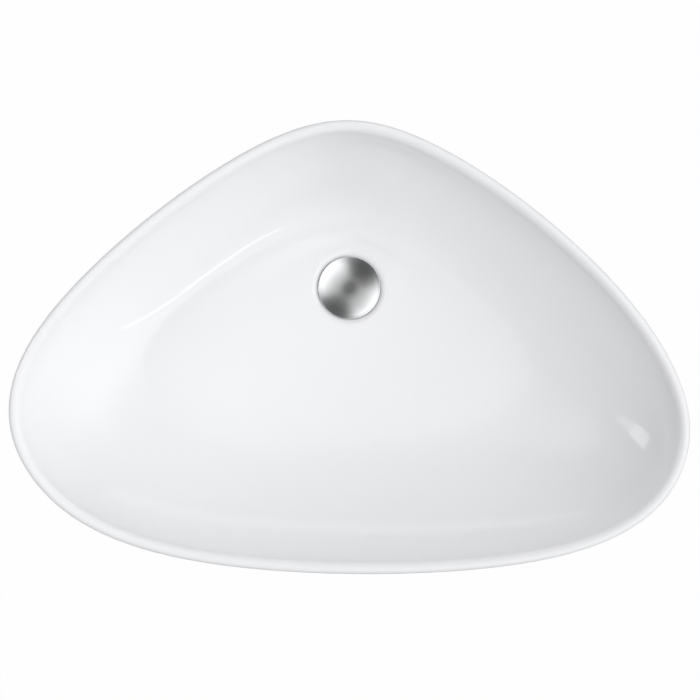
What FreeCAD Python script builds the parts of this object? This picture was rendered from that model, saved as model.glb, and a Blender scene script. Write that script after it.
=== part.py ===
import FreeCAD, Part
import math
import os

import Sketcher
from FreeCAD import Rotation, Vector

# A counter hand basin of glazed ceramic with a push waste, in millimetres.
# The origin is on the drain axis, in the plane of the worktop that the foot stands on.
# +X runs along the width, +Y to the wall behind the basin, +Z up. The plug is shown closed.

SIZES = {
    # the basin's outside
    "basin_width": 590.0,
    "basin_depth": 393.0,
    "basin_height": 110.0,
    "drain_to_back": 139.0,
    "rim_thickness": 10.5,
    # the basin's inside
    "floor_width": 365.0,
    "floor_depth": 200.0,
    "floor_left_of_drain": 12.0,
    "floor_ahead_of_drain": 45.0,
    "land_height": 22.0,
    "land_width": 6.0,
    "floor_fall": 5.0,
    # the basin's foot
    "foot_width": 375.0,
    "foot_depth": 240.0,
    "foot_left_of_drain": 12.0,
    "foot_ahead_of_drain": 52.0,
    "foot_height": 9.0,
    "foot_ring": 14.0,
    "foot_hollow": 8.0,
    # the recess and hole for the waste
    "recess_depth": 4.0,
    "recess_fall": 3.0,
    "recess_slope": 5.7,
    "recess_round": 4.0,
    "recess_lip_round": 0.6,
    "hole_clearance": 1.55,
    # the waste body
    "flange_radius": 29.0,
    "flange_thickness": 1.5,
    "flange_edge": 0.5,
    "flange_gap": 1.3,
    "tube_radius": 20.955,
    "tube_wall": 2.955,
    "tube_length": 90.0,
    "thread_pitch": 2.309,
    "thread_depth": 1.2,
    "thread_crest": 0.35,
    "thread_length": 48.0,
    "thread_below_flange": 11.5,
    "hub_radius": 8.0,
    "hub_height": 8.0,
    "hub_below_flange": 70.0,
    "arm_thickness": 3.0,
    # gaskets, washer and nut
    "ring_clearance": 0.25,
    "upper_gasket_thickness": 1.0,
    "upper_gasket_inset": 0.6,
    "lower_gasket_height": 6.0,
    "lower_gasket_radius": 29.0,
    "lower_gasket_taper": 2.0,
    "gasket_spigot": 4.0,
    "slip_washer_thickness": 1.0,
    "slip_washer_radius": 31.0,
    "back_nut_height": 10.0,
    "back_nut_flats": 52.0,
    "nut_thread_clearance": 0.12,
    # the tailpiece
    "tail_gasket_thickness": 1.5,
    "tail_shoulder_radius": 21.0,
    "tail_shoulder_height": 3.0,
    "tail_collar_length": 8.5,
    "tail_collar_clearance": 0.2,
    "tail_radius": 15.875,
    "tail_wall": 1.125,
    "tail_length": 74.5,
    "tail_chamfer": 0.4,
    # the cartridge that holds and guides the plug
    "sleeve_radius": 8.0,
    "sleeve_bore": 6.2,
    "sleeve_floor": 3.0,
    "sleeve_length": 47.0,
    "neck_radius": 5.0,
    "neck_length": 15.0,
    "neck_clearance": 0.1,
    "cartridge_nut_height": 5.0,
    "cartridge_nut_flats": 16.0,
    "collar_head": 3.0,
    "collar_plug": 2.7,
    "collar_clearance": 0.1,
    "wiper_section": 0.75,
    "wiper_clearance": 0.05,
    "guide_pin_radius": 1.0,
    "guide_pin_reach": 1.3,
    # the plug and its stem
    "travel": 9.0,
    "stop_clearance": 0.3,
    "cap_radius": 30.0,
    "cap_edge_height": 1.6,
    "cap_gap": 0.3,
    "cap_wall": 3.0,
    "cap_rise": 3.4,
    "seal_gap": 0.2,
    "seal_thickness": 1.5,
    "seal_width": 4.5,
    "seal_inset": 1.0,
    "boss_radius": 6.5,
    "boss_length": 8.2,
    "boss_engagement": 8.0,
    "boss_relief": 1.0,
    "stem_radius": 4.0,
    "stem_running_clearance": 0.08,
    "stem_shoulder_radius": 5.5,
    "stem_shoulder_height": 3.0,
    "stem_rivet_radius": 3.2,
    "stem_rivet_height": 1.0,
    "locknut_height": 4.5,
    "locknut_flats": 13.0,
    # the indexing drum, its washer and the spring under it
    "drum_radius": 5.8,
    "drum_length": 15.0,
    "drum_play": 0.1,
    "spindle_radius": 2.5,
    "spindle_clearance": 0.08,
    "groove_depth": 1.2,
    "groove_clearance": 0.2,
    "groove_relief": 0.02,
    "groove_below_top": 3.0,
    "thrust_washer_radius": 5.6,
    "thrust_washer_thickness": 1.0,
    "spring_mean_radius": 4.7,
    "spring_wire_radius": 0.5,
    # one overrun for every cutter
    "overrun": 2.0,
}

# The rim's outline as poles of a closed cubic curve, in shares of its width and depth.
OUTLINE_SHARES = (
    (0.497, -0.047),
    (0.345, 0.235),
    (0.082, 0.515),
    (-0.115, 0.515),
    (-0.528, 0.016),
    (-0.498, -0.305),
    (-0.281, -0.51),
    (0.356, -0.509),
    (0.515, -0.284),
)
FIRST_POLE_ANGLE = -5.0
RIM_STEPS = 8
WALL_STEPS = 12
WALL_POWER = 1.35
FLOOR_STEPS = 5
SPIDER_ARMS = 3
GROOVE_LOBES = 2
TURN_PER_STROKE = 90.0
GROOVE_OVERLAP = 2.0
SPRING_TURNS = 7
CHAMFER_SLOPE_SHARE = 1.732
NUT_CROWN_SHARE = 0.98
HEX_CORNER_SHARE = 2.0 / math.sqrt(3.0)


class Length:
    """A length in millimetres, with the expression that binds it to the sheet of sizes."""

    def __init__(self, value, words):
        self.value = value
        self.words = words

    def __add__(self, other):
        return Length(self.value + other.value, f"({self.words} + {other.words})")

    def __sub__(self, other):
        return Length(self.value - other.value, f"({self.words} - {other.words})")

    def __mul__(self, number):
        return Length(self.value * number, f"({self.words} * {number})")

    def __truediv__(self, number):
        return Length(self.value / number, f"({self.words} / {number})")


ZERO = Length(0.0, "0")


def size(name):
    return Length(SIZES[name], f"Sizes.{name}")


# Heights above the worktop, worked out from the stack of pieces.
recess_seat = size("land_height") - size("recess_depth")
flange_seat = recess_seat + size("upper_gasket_thickness")
flange_top = flange_seat + size("flange_thickness")
body_end = flange_seat - size("tube_length")
hub_seat = flange_seat - size("hub_below_flange")
hub_top = hub_seat + size("hub_height")
lower_gasket_seat = size("foot_hollow") - size("lower_gasket_height")
slip_washer_seat = lower_gasket_seat - size("slip_washer_thickness")
back_nut_seat = slip_washer_seat - size("back_nut_height")
thread_top = flange_seat - size("thread_below_flange")
thread_bottom = thread_top - size("thread_length")
tail_shoulder_top = body_end - size("tail_gasket_thickness")
tail_shoulder_seat = tail_shoulder_top - size("tail_shoulder_height")
tail_seat = tail_shoulder_seat - size("tail_length")
sleeve_inside_floor = hub_top + size("sleeve_floor")
sleeve_top = hub_top + size("sleeve_length")
collar_seat = sleeve_top - size("collar_plug")
cap_seat = flange_top + size("cap_gap")
cap_underside = flange_top + size("seal_gap") + size("seal_thickness")
boss_end = cap_underside - size("boss_length")
stem_top = boss_end + size("boss_engagement")
shoulder_top = collar_seat - size("travel") - size("stop_clearance")
shoulder_seat = shoulder_top - size("stem_shoulder_height")
drum_top = shoulder_seat - size("drum_play")
drum_seat = drum_top - size("drum_length")
thrust_washer_seat = drum_seat - size("drum_play") - size("thrust_washer_thickness")
stem_seat = thrust_washer_seat - size("drum_play") - size("stem_rivet_height")
guide_pin_height = drum_top - size("groove_below_top")

# Radii that more than one piece takes.
tube_bore = size("tube_radius") - size("tube_wall")
ring_bore = size("tube_radius") + size("ring_clearance")
hole_radius = size("tube_radius") + size("hole_clearance")
recess_radius = size("flange_radius") + size("flange_gap")
recess_mouth = recess_radius + size("recess_slope")
land_radius = recess_mouth + size("land_width")
neck_hole = size("neck_radius") + size("neck_clearance")
stem_hole = size("stem_radius") + size("stem_running_clearance")
spindle_hole = size("spindle_radius") + size("spindle_clearance")

doc = FreeCAD.newDocument("hand_basin")


def fill_sheet():
    """Write every driving size as a plain number with its own alias."""
    sheet = doc.addObject("Spreadsheet::Sheet", "Sizes")
    for row, (name, value) in enumerate(SIZES.items(), start=1):
        sheet.set(f"A{row}", name)
        sheet.set(f"B{row}", str(value))
        sheet.setAlias(f"B{row}", name)
    doc.recompute()


def bind(thing, **lengths):
    """Bind each named property to its length."""
    for name, length in lengths.items():
        thing.setExpression(name, length.words)


def seat_at(thing, height):
    thing.setExpression("Placement.Base.z", height.words)


def new_body(label):
    body = doc.addObject("PartDesign::Body", label)
    body.Label = label
    return body


def new_sketch(body, name, role):
    """A sketch on one of the body's own origin planes."""
    sketch = body.newObject("Sketcher::SketchObject", name)
    plane = [feature for feature in body.Origin.OriginFeatures if feature.Role == role][0]
    sketch.AttachmentSupport = [(plane, "")]
    sketch.MapMode = "FlatFace"
    return sketch


def hold_point(sketch, edge, across, up):
    """Hold the start of an edge at its two lengths from the sketch's origin."""
    for length, kind, axis in ((across, "DistanceX", -2), (up, "DistanceY", -1)):
        if length is ZERO:
            sketch.addConstraint(Sketcher.Constraint("PointOnObject", edge, 1, axis))
        else:
            held = sketch.addConstraint(Sketcher.Constraint(kind, -1, 1, edge, 1, length.value))
            sketch.setExpression(f"Constraints[{held}]", length.words)


def draw_outline(sketch, points, dome_edge=None):
    """A closed loop through the points. The dome edge is an arc centred on the vertical axis."""
    for edge, (across, up) in enumerate(points):
        next_across, next_up = points[(edge + 1) % len(points)]
        start = Vector(across.value, up.value, 0)
        end = Vector(next_across.value, next_up.value, 0)
        if edge == dome_edge:
            sketch.addGeometry(dome_arc(start, end), False)
            sketch.addConstraint(Sketcher.Constraint("PointOnObject", edge, 3, -2))
        else:
            sketch.addGeometry(Part.LineSegment(start, end), False)
    for edge in range(len(points)):
        sketch.addConstraint(Sketcher.Constraint("Coincident", edge, 2, (edge + 1) % len(points), 1))
    for edge, (across, up) in enumerate(points):
        hold_point(sketch, edge, across, up)


def dome_arc(low, high):
    """The arc from the dome's edge up to its top, which lies on the vertical axis."""
    rise = high.y - low.y
    radius = (low.x ** 2 + rise ** 2) / (2 * rise)
    centre = Vector(0, high.y - radius, 0)
    circle = Part.Circle(centre, Vector(0, 0, 1), radius)
    edge_angle = math.atan2(low.y - centre.y, low.x)
    return Part.ArcOfCircle(circle, edge_angle, math.pi / 2)


def turned(label, points, seat, dome_edge=None):
    """A piece turned about the drain axis, drawn up from its own seat."""
    body = new_body(label)
    sketch = new_sketch(body, f"{label}_profile", "XZ_Plane")
    draw_outline(sketch, points, dome_edge)
    revolution = body.newObject("PartDesign::Revolution", f"{label}_turned")
    revolution.Profile = sketch
    revolution.ReferenceAxis = (sketch, ["V_Axis"])
    body.Tip = revolution
    seat_at(body, seat)
    return body


def flat_ring(label, inner, outer, thickness, seat):
    corners = [(inner, ZERO), (outer, ZERO), (outer, thickness), (inner, thickness)]
    return turned(label, corners, seat)


def cut(label, base, tool):
    result = doc.addObject("Part::Cut", label)
    result.Label = label
    result.Base = base
    result.Tool = tool
    return result


def cylinder(name, radius, height, seat):
    thing = doc.addObject("Part::Cylinder", name)
    bind(thing, Radius=radius, Height=height)
    seat_at(thing, seat)
    return thing


def hex_blank(name, flats, height, seat):
    """A hexagon of the given width across its flats, its top corners crowned by a cone."""
    prism = doc.addObject("Part::Prism", f"{name}_hexagon")
    prism.Polygon = 6
    bind(prism, Circumradius=flats / 2 * HEX_CORNER_SHARE, Height=height)
    seat_at(prism, seat)
    crown = doc.addObject("Part::Cone", f"{name}_crown")
    crown_top = flats / 2 * NUT_CROWN_SHARE
    bind(crown, Radius1=crown_top + height * CHAMFER_SLOPE_SHARE, Radius2=crown_top, Height=height)
    seat_at(crown, seat)
    blank = doc.addObject("Part::Common", f"{name}_blank")
    blank.Base = prism
    blank.Tool = crown
    return blank


def hex_nut(label, flats, height, bore, seat):
    blank = hex_blank(label, flats, height, seat)
    overrun = size("overrun")
    drill = cylinder(f"{label}_bore", bore, height + overrun + overrun, seat - overrun)
    return cut(label, blank, drill)


def ring_share(step_angle):
    """A ring of poles this far apart draws a circle of this share of the ring's own radius."""
    return (4 + 2 * math.cos(step_angle)) / 6


def closed_curve(poles):
    curve = Part.BSplineCurve()
    curve.buildFromPoles(poles, True, 3)
    return Part.Wire([curve.toShape()])


def outline_poles(width, depth, centre_x, centre_y):
    """The rim's own outline, drawn into a box of this width and depth."""
    return [Vector(centre_x + width * across, centre_y + depth * back, 0) for across, back in OUTLINE_SHARES]


def circle_poles(radius):
    """A circle about the drain, with as many poles as the outline has."""
    step_angle = 2 * math.pi / len(OUTLINE_SHARES)
    reach = radius / ring_share(step_angle)
    poles = []
    for index in range(len(OUTLINE_SHARES)):
        angle = math.radians(FIRST_POLE_ANGLE) + step_angle * index
        poles.append(Vector(reach * math.cos(angle), reach * math.sin(angle), 0))
    return poles


def inset_poles(poles, inset):
    """The same curve moved inwards by the inset, square to itself."""
    moved = []
    for index, pole in enumerate(poles):
        before = (pole - poles[index - 1]).normalize()
        after = (poles[(index + 1) % len(poles)] - pole).normalize()
        inwards = Vector(-before.y - after.y, before.x + after.x, 0).normalize()
        moved.append(pole + inwards * (inset / ring_share(before.getAngle(after))))
    return moved


def row(first, last, share, height):
    """The row of poles that lies this share of the way from one curve to another."""
    return [
        Vector(a.x + (b.x - a.x) * share, a.y + (b.y - a.y) * share, height)
        for a, b in zip(first, last)
    ]


def quarter_wall(start, end, start_height, end_height):
    """Rows down a wall that starts upright and ends level, flatter than an ellipse by its power."""
    rows = []
    for step in range(1, WALL_STEPS + 1):
        angle = math.pi / 2 * step / WALL_STEPS
        fallen = math.sin(angle) ** WALL_POWER
        share = 1 - abs(math.cos(angle)) ** WALL_POWER
        rows.append(row(start, end, share, start_height - (start_height - end_height) * fallen))
    return rows


def basin_rows():
    """Rows of poles from the foot up the outside, over the round rim and down to the drain."""
    width = SIZES["basin_width"]
    depth = SIZES["basin_depth"]
    lip = SIZES["rim_thickness"] / 2
    lip_centre = SIZES["basin_height"] - lip
    outside = outline_poles(width, depth, 0, SIZES["drain_to_back"] - depth / 2)
    inside = inset_poles(outside, SIZES["rim_thickness"])
    foot = foot_poles(0)
    foot_height = SIZES["foot_height"]
    rows = [row(foot, foot, 0, 0), row(foot, foot, 0, foot_height / 2)]
    rows += reversed(quarter_wall(outside, foot, lip_centre, foot_height))
    step_angle = math.pi / RIM_STEPS
    reach = lip / ring_share(step_angle)
    for step in range(RIM_STEPS + 1):
        across = lip - reach * math.cos(step_angle * step)
        up = lip_centre + reach * math.sin(step_angle * step)
        rows.append(row(outside, inside, across / SIZES["rim_thickness"], up))
    land_height = SIZES["land_height"]
    floor_edge = land_height + SIZES["floor_fall"]
    floor = outline_poles(
        SIZES["floor_width"],
        SIZES["floor_depth"],
        -SIZES["floor_left_of_drain"],
        -SIZES["floor_ahead_of_drain"],
    )
    rows += quarter_wall(inside, floor, lip_centre, floor_edge)
    land = circle_poles(land_radius.value)
    for step in range(1, FLOOR_STEPS + 1):
        share = step / FLOOR_STEPS
        fallen = share * share * (3 - 2 * share)
        rows.append(row(floor, land, share, floor_edge - (floor_edge - land_height) * fallen))
    return rows


def foot_poles(inset):
    """The foot's outline, or the outline of the hollow under it."""
    poles = outline_poles(
        SIZES["foot_width"],
        SIZES["foot_depth"],
        -SIZES["foot_left_of_drain"],
        -SIZES["foot_ahead_of_drain"],
    )
    return inset_poles(poles, inset)


def basin_skin(rows):
    """One smooth skin on the rows, closed by flat faces at the foot and at the land."""
    around = len(OUTLINE_SHARES)
    along = len(rows)
    skin = Part.BSplineSurface()
    skin.buildFromPolesMultsKnots(
        [[poles[index] for poles in rows] for index in range(around)],
        [1] * (around + 1),
        [4] + [1] * (along - 4) + [4],
        list(range(around + 1)),
        list(range(along - 2)),
        True,
        False,
        3,
        3,
    )
    side = skin.toShape()
    rings = [edge for edge in side.Edges if edge.isClosed()]
    shell = Part.makeShell([side] + [Part.Face(Part.Wire([ring])) for ring in rings])
    shell.sewShape()
    return Part.makeSolid(shell)


def waste_hole():
    """What is cut for the waste: a sloped dish, the recess under it, and the hole through the floor."""
    overrun = SIZES["overrun"]
    seat = recess_seat.value
    fall = SIZES["recess_fall"]
    dish_seat = SIZES["land_height"] - fall
    slope_share = SIZES["recess_slope"] / fall
    mouth_over = recess_mouth.value + overrun * slope_share
    dish = Part.makeCone(recess_radius.value, mouth_over, fall + overrun, Vector(0, 0, dish_seat))
    recess = Part.makeCylinder(recess_radius.value, dish_seat - seat, Vector(0, 0, seat))
    hole = Part.makeCylinder(hole_radius.value, seat + overrun, Vector(0, 0, -overrun))
    return dish.fuse(recess).fuse(hole)


def circle_edges(shape, radius, height):
    """The whole circles of a shape that have this radius and lie at this height."""
    return [
        edge
        for edge in shape.Edges
        if edge.Closed
        and isinstance(edge.Curve, Part.Circle)
        and math.isclose(edge.Curve.Radius, radius, rel_tol=1e-3)
        and math.isclose(edge.Curve.Center.z, height, rel_tol=1e-3)
    ]


def basin_bowl():
    """The ceramic shell: one wall over the rim, hollow under the foot, with the waste's hole."""
    hollow_outline = foot_poles(SIZES["foot_ring"])
    hollow_ends = [
        closed_curve(row(hollow_outline, hollow_outline, 0, height))
        for height in (-SIZES["overrun"], SIZES["foot_hollow"])
    ]
    hollow = Part.makeLoft(hollow_ends, True, True)
    shell = basin_skin(basin_rows()).cut(hollow).cut(waste_hole())
    land = SIZES["land_height"]
    mouth = circle_edges(shell, recess_mouth.value, land)
    shell = shell.makeFillet(SIZES["recess_round"], mouth)
    lip = circle_edges(shell, recess_radius.value, land - SIZES["recess_fall"])
    shell = shell.makeFillet(SIZES["recess_lip_round"], lip)
    feature = doc.addObject("Part::Feature", "basin_bowl")
    feature.Label = "basin_bowl"
    feature.Shape = shell


def swept_solid(helix, corners):
    """A closed section carried along a helix, as a solid whose faces look outwards."""
    section = Part.makePolygon(corners + [corners[0]])
    solid = Part.Wire(helix.Edges).makePipeShell([section], True, True)
    if solid.Volume < 0:
        solid.reverse()
    return solid


def thread_cutter():
    """The vee groove of the tube's thread, narrow at its root and as wide as the pitch allows."""
    pitch = SIZES["thread_pitch"]
    root = SIZES["tube_radius"] - SIZES["thread_depth"]
    mouth = SIZES["tube_radius"] + SIZES["thread_crest"]
    narrow = SIZES["thread_crest"] / 2
    wide = pitch / 2 - narrow
    corners = [
        Vector(root, 0, -narrow),
        Vector(mouth, 0, -wide),
        Vector(mouth, 0, wide),
        Vector(root, 0, narrow),
    ]
    groove = swept_solid(Part.makeHelix(pitch, SIZES["thread_length"], root), corners)
    groove.translate(Vector(0, 0, thread_bottom.value))
    cutter = doc.addObject("Part::Feature", "tube_thread")
    cutter.Shape = groove
    return cutter


def waste_body():
    """Flange, threaded tube and the three-armed hub that carries the plug's cartridge."""
    flange = size("flange_radius")
    edge = size("flange_edge")
    tube = size("tube_radius")
    length = size("tube_length")
    top = length + size("flange_thickness")
    profile = [
        (tube_bore, ZERO),
        (tube, ZERO),
        (tube, length),
        (flange, length),
        (flange, top - edge),
        (flange - edge, top),
        (tube_bore + edge, top),
        (tube_bore, top - edge),
    ]
    shell = turned("waste_shell", profile, body_end)
    spider = waste_spider()
    whole = doc.addObject("Part::MultiFuse", "waste_casting")
    whole.Shapes = [shell, spider]
    cut("waste_body", whole, thread_cutter())


def waste_spider():
    """The hub in the middle of the tube and its arms, one drawn and the others patterned."""
    body = new_body("waste_spider")
    hub_sketch = new_sketch(body, "hub_profile", "XZ_Plane")
    hub = size("hub_radius")
    height = size("hub_height")
    draw_outline(hub_sketch, [(neck_hole, ZERO), (hub, ZERO), (hub, height), (neck_hole, height)])
    ring = body.newObject("PartDesign::Revolution", "hub_turned")
    ring.Profile = hub_sketch
    ring.ReferenceAxis = (hub_sketch, ["V_Axis"])
    arm_sketch = new_sketch(body, "arm_profile", "XY_Plane")
    inner = (neck_hole + hub) / 2
    outer = tube_bore + size("tube_wall") / 2
    half = size("arm_thickness") / 2
    draw_arm(arm_sketch, inner, outer, half)
    arm = body.newObject("PartDesign::Pad", "arm")
    arm.Profile = arm_sketch
    bind(arm, Length=height)
    arms = body.newObject("PartDesign::PolarPattern", "arms")
    arms.Originals = [arm]
    arms.Axis = (arm_sketch, ["N_Axis"])
    arms.Angle = 360
    arms.Occurrences = SPIDER_ARMS
    body.Tip = arms
    seat_at(body, hub_seat)
    return body


def draw_arm(sketch, inner, outer, half):
    """A rectangle along X, as wide on one side of the axis as on the other."""
    corners = [
        Vector(inner.value, -half.value, 0),
        Vector(outer.value, -half.value, 0),
        Vector(outer.value, half.value, 0),
        Vector(inner.value, half.value, 0),
    ]
    for edge in range(4):
        sketch.addGeometry(Part.LineSegment(corners[edge], corners[(edge + 1) % 4]), False)
    for edge in range(4):
        sketch.addConstraint(Sketcher.Constraint("Coincident", edge, 2, (edge + 1) % 4, 1))
    sketch.addConstraint(Sketcher.Constraint("Horizontal", 0))
    sketch.addConstraint(Sketcher.Constraint("Symmetric", 0, 1, 2, 2, -1))
    sketch.addConstraint(Sketcher.Constraint("Symmetric", 0, 2, 1, 2, -1))
    near = sketch.addConstraint(Sketcher.Constraint("DistanceX", -1, 1, 0, 1, inner.value))
    sketch.setExpression(f"Constraints[{near}]", inner.words)
    far = sketch.addConstraint(Sketcher.Constraint("DistanceX", -1, 1, 0, 2, outer.value))
    sketch.setExpression(f"Constraints[{far}]", outer.words)
    thick = sketch.addConstraint(Sketcher.Constraint("DistanceY", 1, 1, 1, 2, 2 * half.value))
    sketch.setExpression(f"Constraints[{thick}]", (half * 2).words)


def seals_and_nut():
    """What clamps the waste in the basin: two gaskets, a slip washer and the back nut."""
    upper_radius = size("flange_radius") - size("upper_gasket_inset")
    flat_ring("upper_gasket", ring_bore, upper_radius, size("upper_gasket_thickness"), recess_seat)
    height = size("lower_gasket_height")
    radius = size("lower_gasket_radius")
    spigot = hole_radius - size("ring_clearance")
    spigot_top = height + size("gasket_spigot")
    profile = [
        (ring_bore, ZERO),
        (radius + size("lower_gasket_taper"), ZERO),
        (radius, height),
        (spigot, height),
        (spigot, spigot_top),
        (ring_bore, spigot_top),
    ]
    turned("lower_gasket", profile, lower_gasket_seat)
    washer = size("slip_washer_radius")
    flat_ring("slip_washer", ring_bore, washer, size("slip_washer_thickness"), slip_washer_seat)
    nut_bore = size("tube_radius") + size("nut_thread_clearance")
    hex_nut("back_nut", size("back_nut_flats"), size("back_nut_height"), nut_bore, back_nut_seat)


def tail():
    """The tailpiece that the trap slides on, screwed up into the body on a flat gasket."""
    inset = size("ring_clearance")
    gasket = size("tail_gasket_thickness")
    flat_ring("tail_gasket", tube_bore + inset, size("tube_radius"), gasket, tail_shoulder_top)
    pipe = size("tail_radius")
    bore = pipe - size("tail_wall")
    chamfer = size("tail_chamfer")
    length = size("tail_length")
    shoulder = size("tail_shoulder_radius")
    shoulder_height = length + size("tail_shoulder_height")
    collar = tube_bore - size("tail_collar_clearance")
    collar_top = shoulder_height + gasket + size("tail_collar_length")
    profile = [
        (bore, ZERO),
        (pipe - chamfer, ZERO),
        (pipe, chamfer),
        (pipe, length),
        (shoulder, length),
        (shoulder, shoulder_height),
        (collar, shoulder_height),
        (collar, collar_top),
        (bore, collar_top),
    ]
    turned("tailpiece", profile, tail_seat)


def cartridge():
    """The sleeve on the hub, its collar and wiper ring, its guide pin and its nut."""
    outer = size("sleeve_radius")
    bore = size("sleeve_bore")
    neck = size("neck_radius")
    floor = size("neck_length") + size("sleeve_floor")
    top = size("neck_length") + size("sleeve_length")
    profile = [
        (ZERO, ZERO),
        (neck, ZERO),
        (neck, size("neck_length")),
        (outer, size("neck_length")),
        (outer, top),
        (bore, top),
        (bore, floor),
        (ZERO, floor),
    ]
    sleeve = turned("sleeve_turned", profile, hub_top - size("neck_length"))
    pin_hole = cylinder("guide_pin_hole", size("guide_pin_radius"), outer + size("overrun"), guide_pin_height)
    pin_hole.Placement.Rotation = Rotation(Vector(0, 1, 0), 90)
    cut("cartridge_sleeve", sleeve, pin_hole)
    nut_seat = hub_seat - size("cartridge_nut_height")
    hex_nut("cartridge_nut", size("cartridge_nut_flats"), size("cartridge_nut_height"), neck_hole, nut_seat)
    collar()
    pin = cylinder("guide_pin", size("guide_pin_radius"), outer - bore + size("guide_pin_reach"), guide_pin_height)
    pin.Label = "guide_pin"
    pin.Placement.Rotation = Rotation(Vector(0, 1, 0), 90)
    bind_x(pin, bore - size("guide_pin_reach"))


def bind_x(thing, length):
    thing.setExpression("Placement.Base.x", length.words)


def collar():
    """The collar that closes the sleeve, with the groove of the wiper ring inside its head."""
    plug = size("collar_plug")
    plug_radius = size("sleeve_bore") - size("collar_clearance")
    head_top = plug + size("collar_head")
    section = size("wiper_section")
    groove_half = section + size("wiper_clearance")
    groove_radius = size("stem_radius") + size("wiper_clearance") * 2 + section * 2
    middle = plug + size("collar_head") / 2
    profile = [
        (stem_hole, ZERO),
        (plug_radius, ZERO),
        (plug_radius, plug),
        (size("sleeve_radius"), plug),
        (size("sleeve_radius"), head_top),
        (stem_hole, head_top),
        (stem_hole, middle + groove_half),
        (groove_radius, middle + groove_half),
        (groove_radius, middle - groove_half),
        (stem_hole, middle - groove_half),
    ]
    turned("cartridge_collar", profile, collar_seat)
    wiper = doc.addObject("Part::Torus", "wiper_ring")
    wiper.Label = "wiper_ring"
    bind(wiper, Radius1=size("stem_radius") + size("wiper_clearance") + section, Radius2=section)
    seat_at(wiper, collar_seat + middle)


def plug():
    """The domed cap with its seal, and the stem with its locknut."""
    edge_top = size("cap_edge_height")
    plate = cap_underside - cap_seat
    inner = size("cap_radius") - size("cap_wall")
    boss = size("boss_radius")
    boss_drop = boss_end - cap_seat
    hole_top = boss_drop + size("boss_engagement") + size("boss_relief")
    hole = size("stem_radius")
    profile = [
        (inner, ZERO),
        (size("cap_radius"), ZERO),
        (size("cap_radius"), edge_top),
        (ZERO, edge_top + size("cap_rise")),
        (ZERO, hole_top),
        (hole, hole_top),
        (hole, boss_drop),
        (boss, boss_drop),
        (boss, plate),
        (inner, plate),
    ]
    turned("plug_cap", profile, cap_seat, dome_edge=2)
    seal_inner = tube_bore + size("seal_inset")
    seal_outer = seal_inner + size("seal_width")
    flat_ring("plug_seal", seal_inner, seal_outer, size("seal_thickness"), flange_top + size("seal_gap"))
    hex_nut(
        "stem_locknut",
        size("locknut_flats"),
        size("locknut_height"),
        size("stem_radius"),
        boss_end - size("locknut_height"),
    )
    stem()


def stem():
    rivet = size("stem_rivet_radius")
    spindle = size("spindle_radius")
    shoulder = size("stem_shoulder_radius")
    rod = size("stem_radius")
    rivet_top = size("stem_rivet_height")
    shoulder_low = shoulder_seat - stem_seat
    shoulder_high = shoulder_top - stem_seat
    profile = [
        (ZERO, ZERO),
        (rivet, ZERO),
        (rivet, rivet_top),
        (spindle, rivet_top),
        (spindle, shoulder_low),
        (shoulder, shoulder_low),
        (shoulder, shoulder_high),
        (rod, shoulder_high),
        (rod, stem_top - stem_seat),
        (ZERO, stem_top - stem_seat),
    ]
    turned("plug_stem", profile, stem_seat)


def index_drum():
    """The drum whose zigzag groove turns it by one step for each stroke of the plug."""
    radius = SIZES["drum_radius"]
    length = SIZES["drum_length"]
    bottom = Vector(0, 0, drum_seat.value)
    drum = Part.makeCylinder(radius, length, bottom)
    drum = drum.cut(Part.makeCylinder(spindle_hole.value, length, bottom))
    for lobe in range(GROOVE_LOBES):
        for left_handed in (False, True):
            drum = drum.cut(groove_leg(lobe, left_handed))
    feature = doc.addObject("Part::Feature", "index_drum")
    feature.Label = "index_drum"
    feature.Shape = drum


def groove_leg(lobe, left_handed):
    """One leg of the zigzag. It runs past its ends, and a left-handed leg is a little larger."""
    travel = SIZES["travel"]
    relief = SIZES["groove_relief"] if left_handed else 0
    mouth = SIZES["drum_radius"] + SIZES["groove_clearance"] + relief
    root = SIZES["drum_radius"] - SIZES["groove_depth"] - relief
    half_width = SIZES["guide_pin_radius"] + SIZES["groove_clearance"]
    climb = math.atan2(travel, math.radians(TURN_PER_STROKE) * SIZES["drum_radius"])
    half_height = half_width / math.cos(climb) + relief
    past_end = travel * GROOVE_OVERLAP / TURN_PER_STROKE
    pitch = travel * 360.0 / TURN_PER_STROKE
    helix = Part.makeHelix(pitch, travel + 2 * past_end, root + relief, 0, left_handed)
    corners = [
        Vector(root, 0, -half_height),
        Vector(mouth, 0, -half_height),
        Vector(mouth, 0, half_height),
        Vector(root, 0, half_height),
    ]
    leg = swept_solid(helix, corners)
    leg.translate(Vector(0, 0, guide_pin_height.value - travel - past_end))
    turn = (2 * lobe - 1) * TURN_PER_STROKE
    leg.rotate(Vector(0, 0, 0), Vector(0, 0, 1), turn + (GROOVE_OVERLAP if left_handed else -GROOVE_OVERLAP))
    return leg


def thrust_washer():
    flat_ring(
        "thrust_washer",
        spindle_hole,
        size("thrust_washer_radius"),
        size("thrust_washer_thickness"),
        thrust_washer_seat,
    )


def return_spring():
    """A round wire on a helix, from the sleeve's floor to the thrust washer."""
    wire = SIZES["spring_wire_radius"]
    low = sleeve_inside_floor.value + wire
    high = thrust_washer_seat.value - wire
    mean = SIZES["spring_mean_radius"]
    helix = Part.makeHelix((high - low) / SPRING_TURNS, high - low, mean)
    section = Part.Wire(Part.Circle(Vector(mean, 0, 0), Vector(0, 1, 0), wire).toShape())
    coil = Part.Wire(helix.Edges).makePipeShell([section], True, True)
    coil.translate(Vector(0, 0, low))
    feature = doc.addObject("Part::Feature", "return_spring")
    feature.Label = "return_spring"
    feature.Shape = coil


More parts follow.
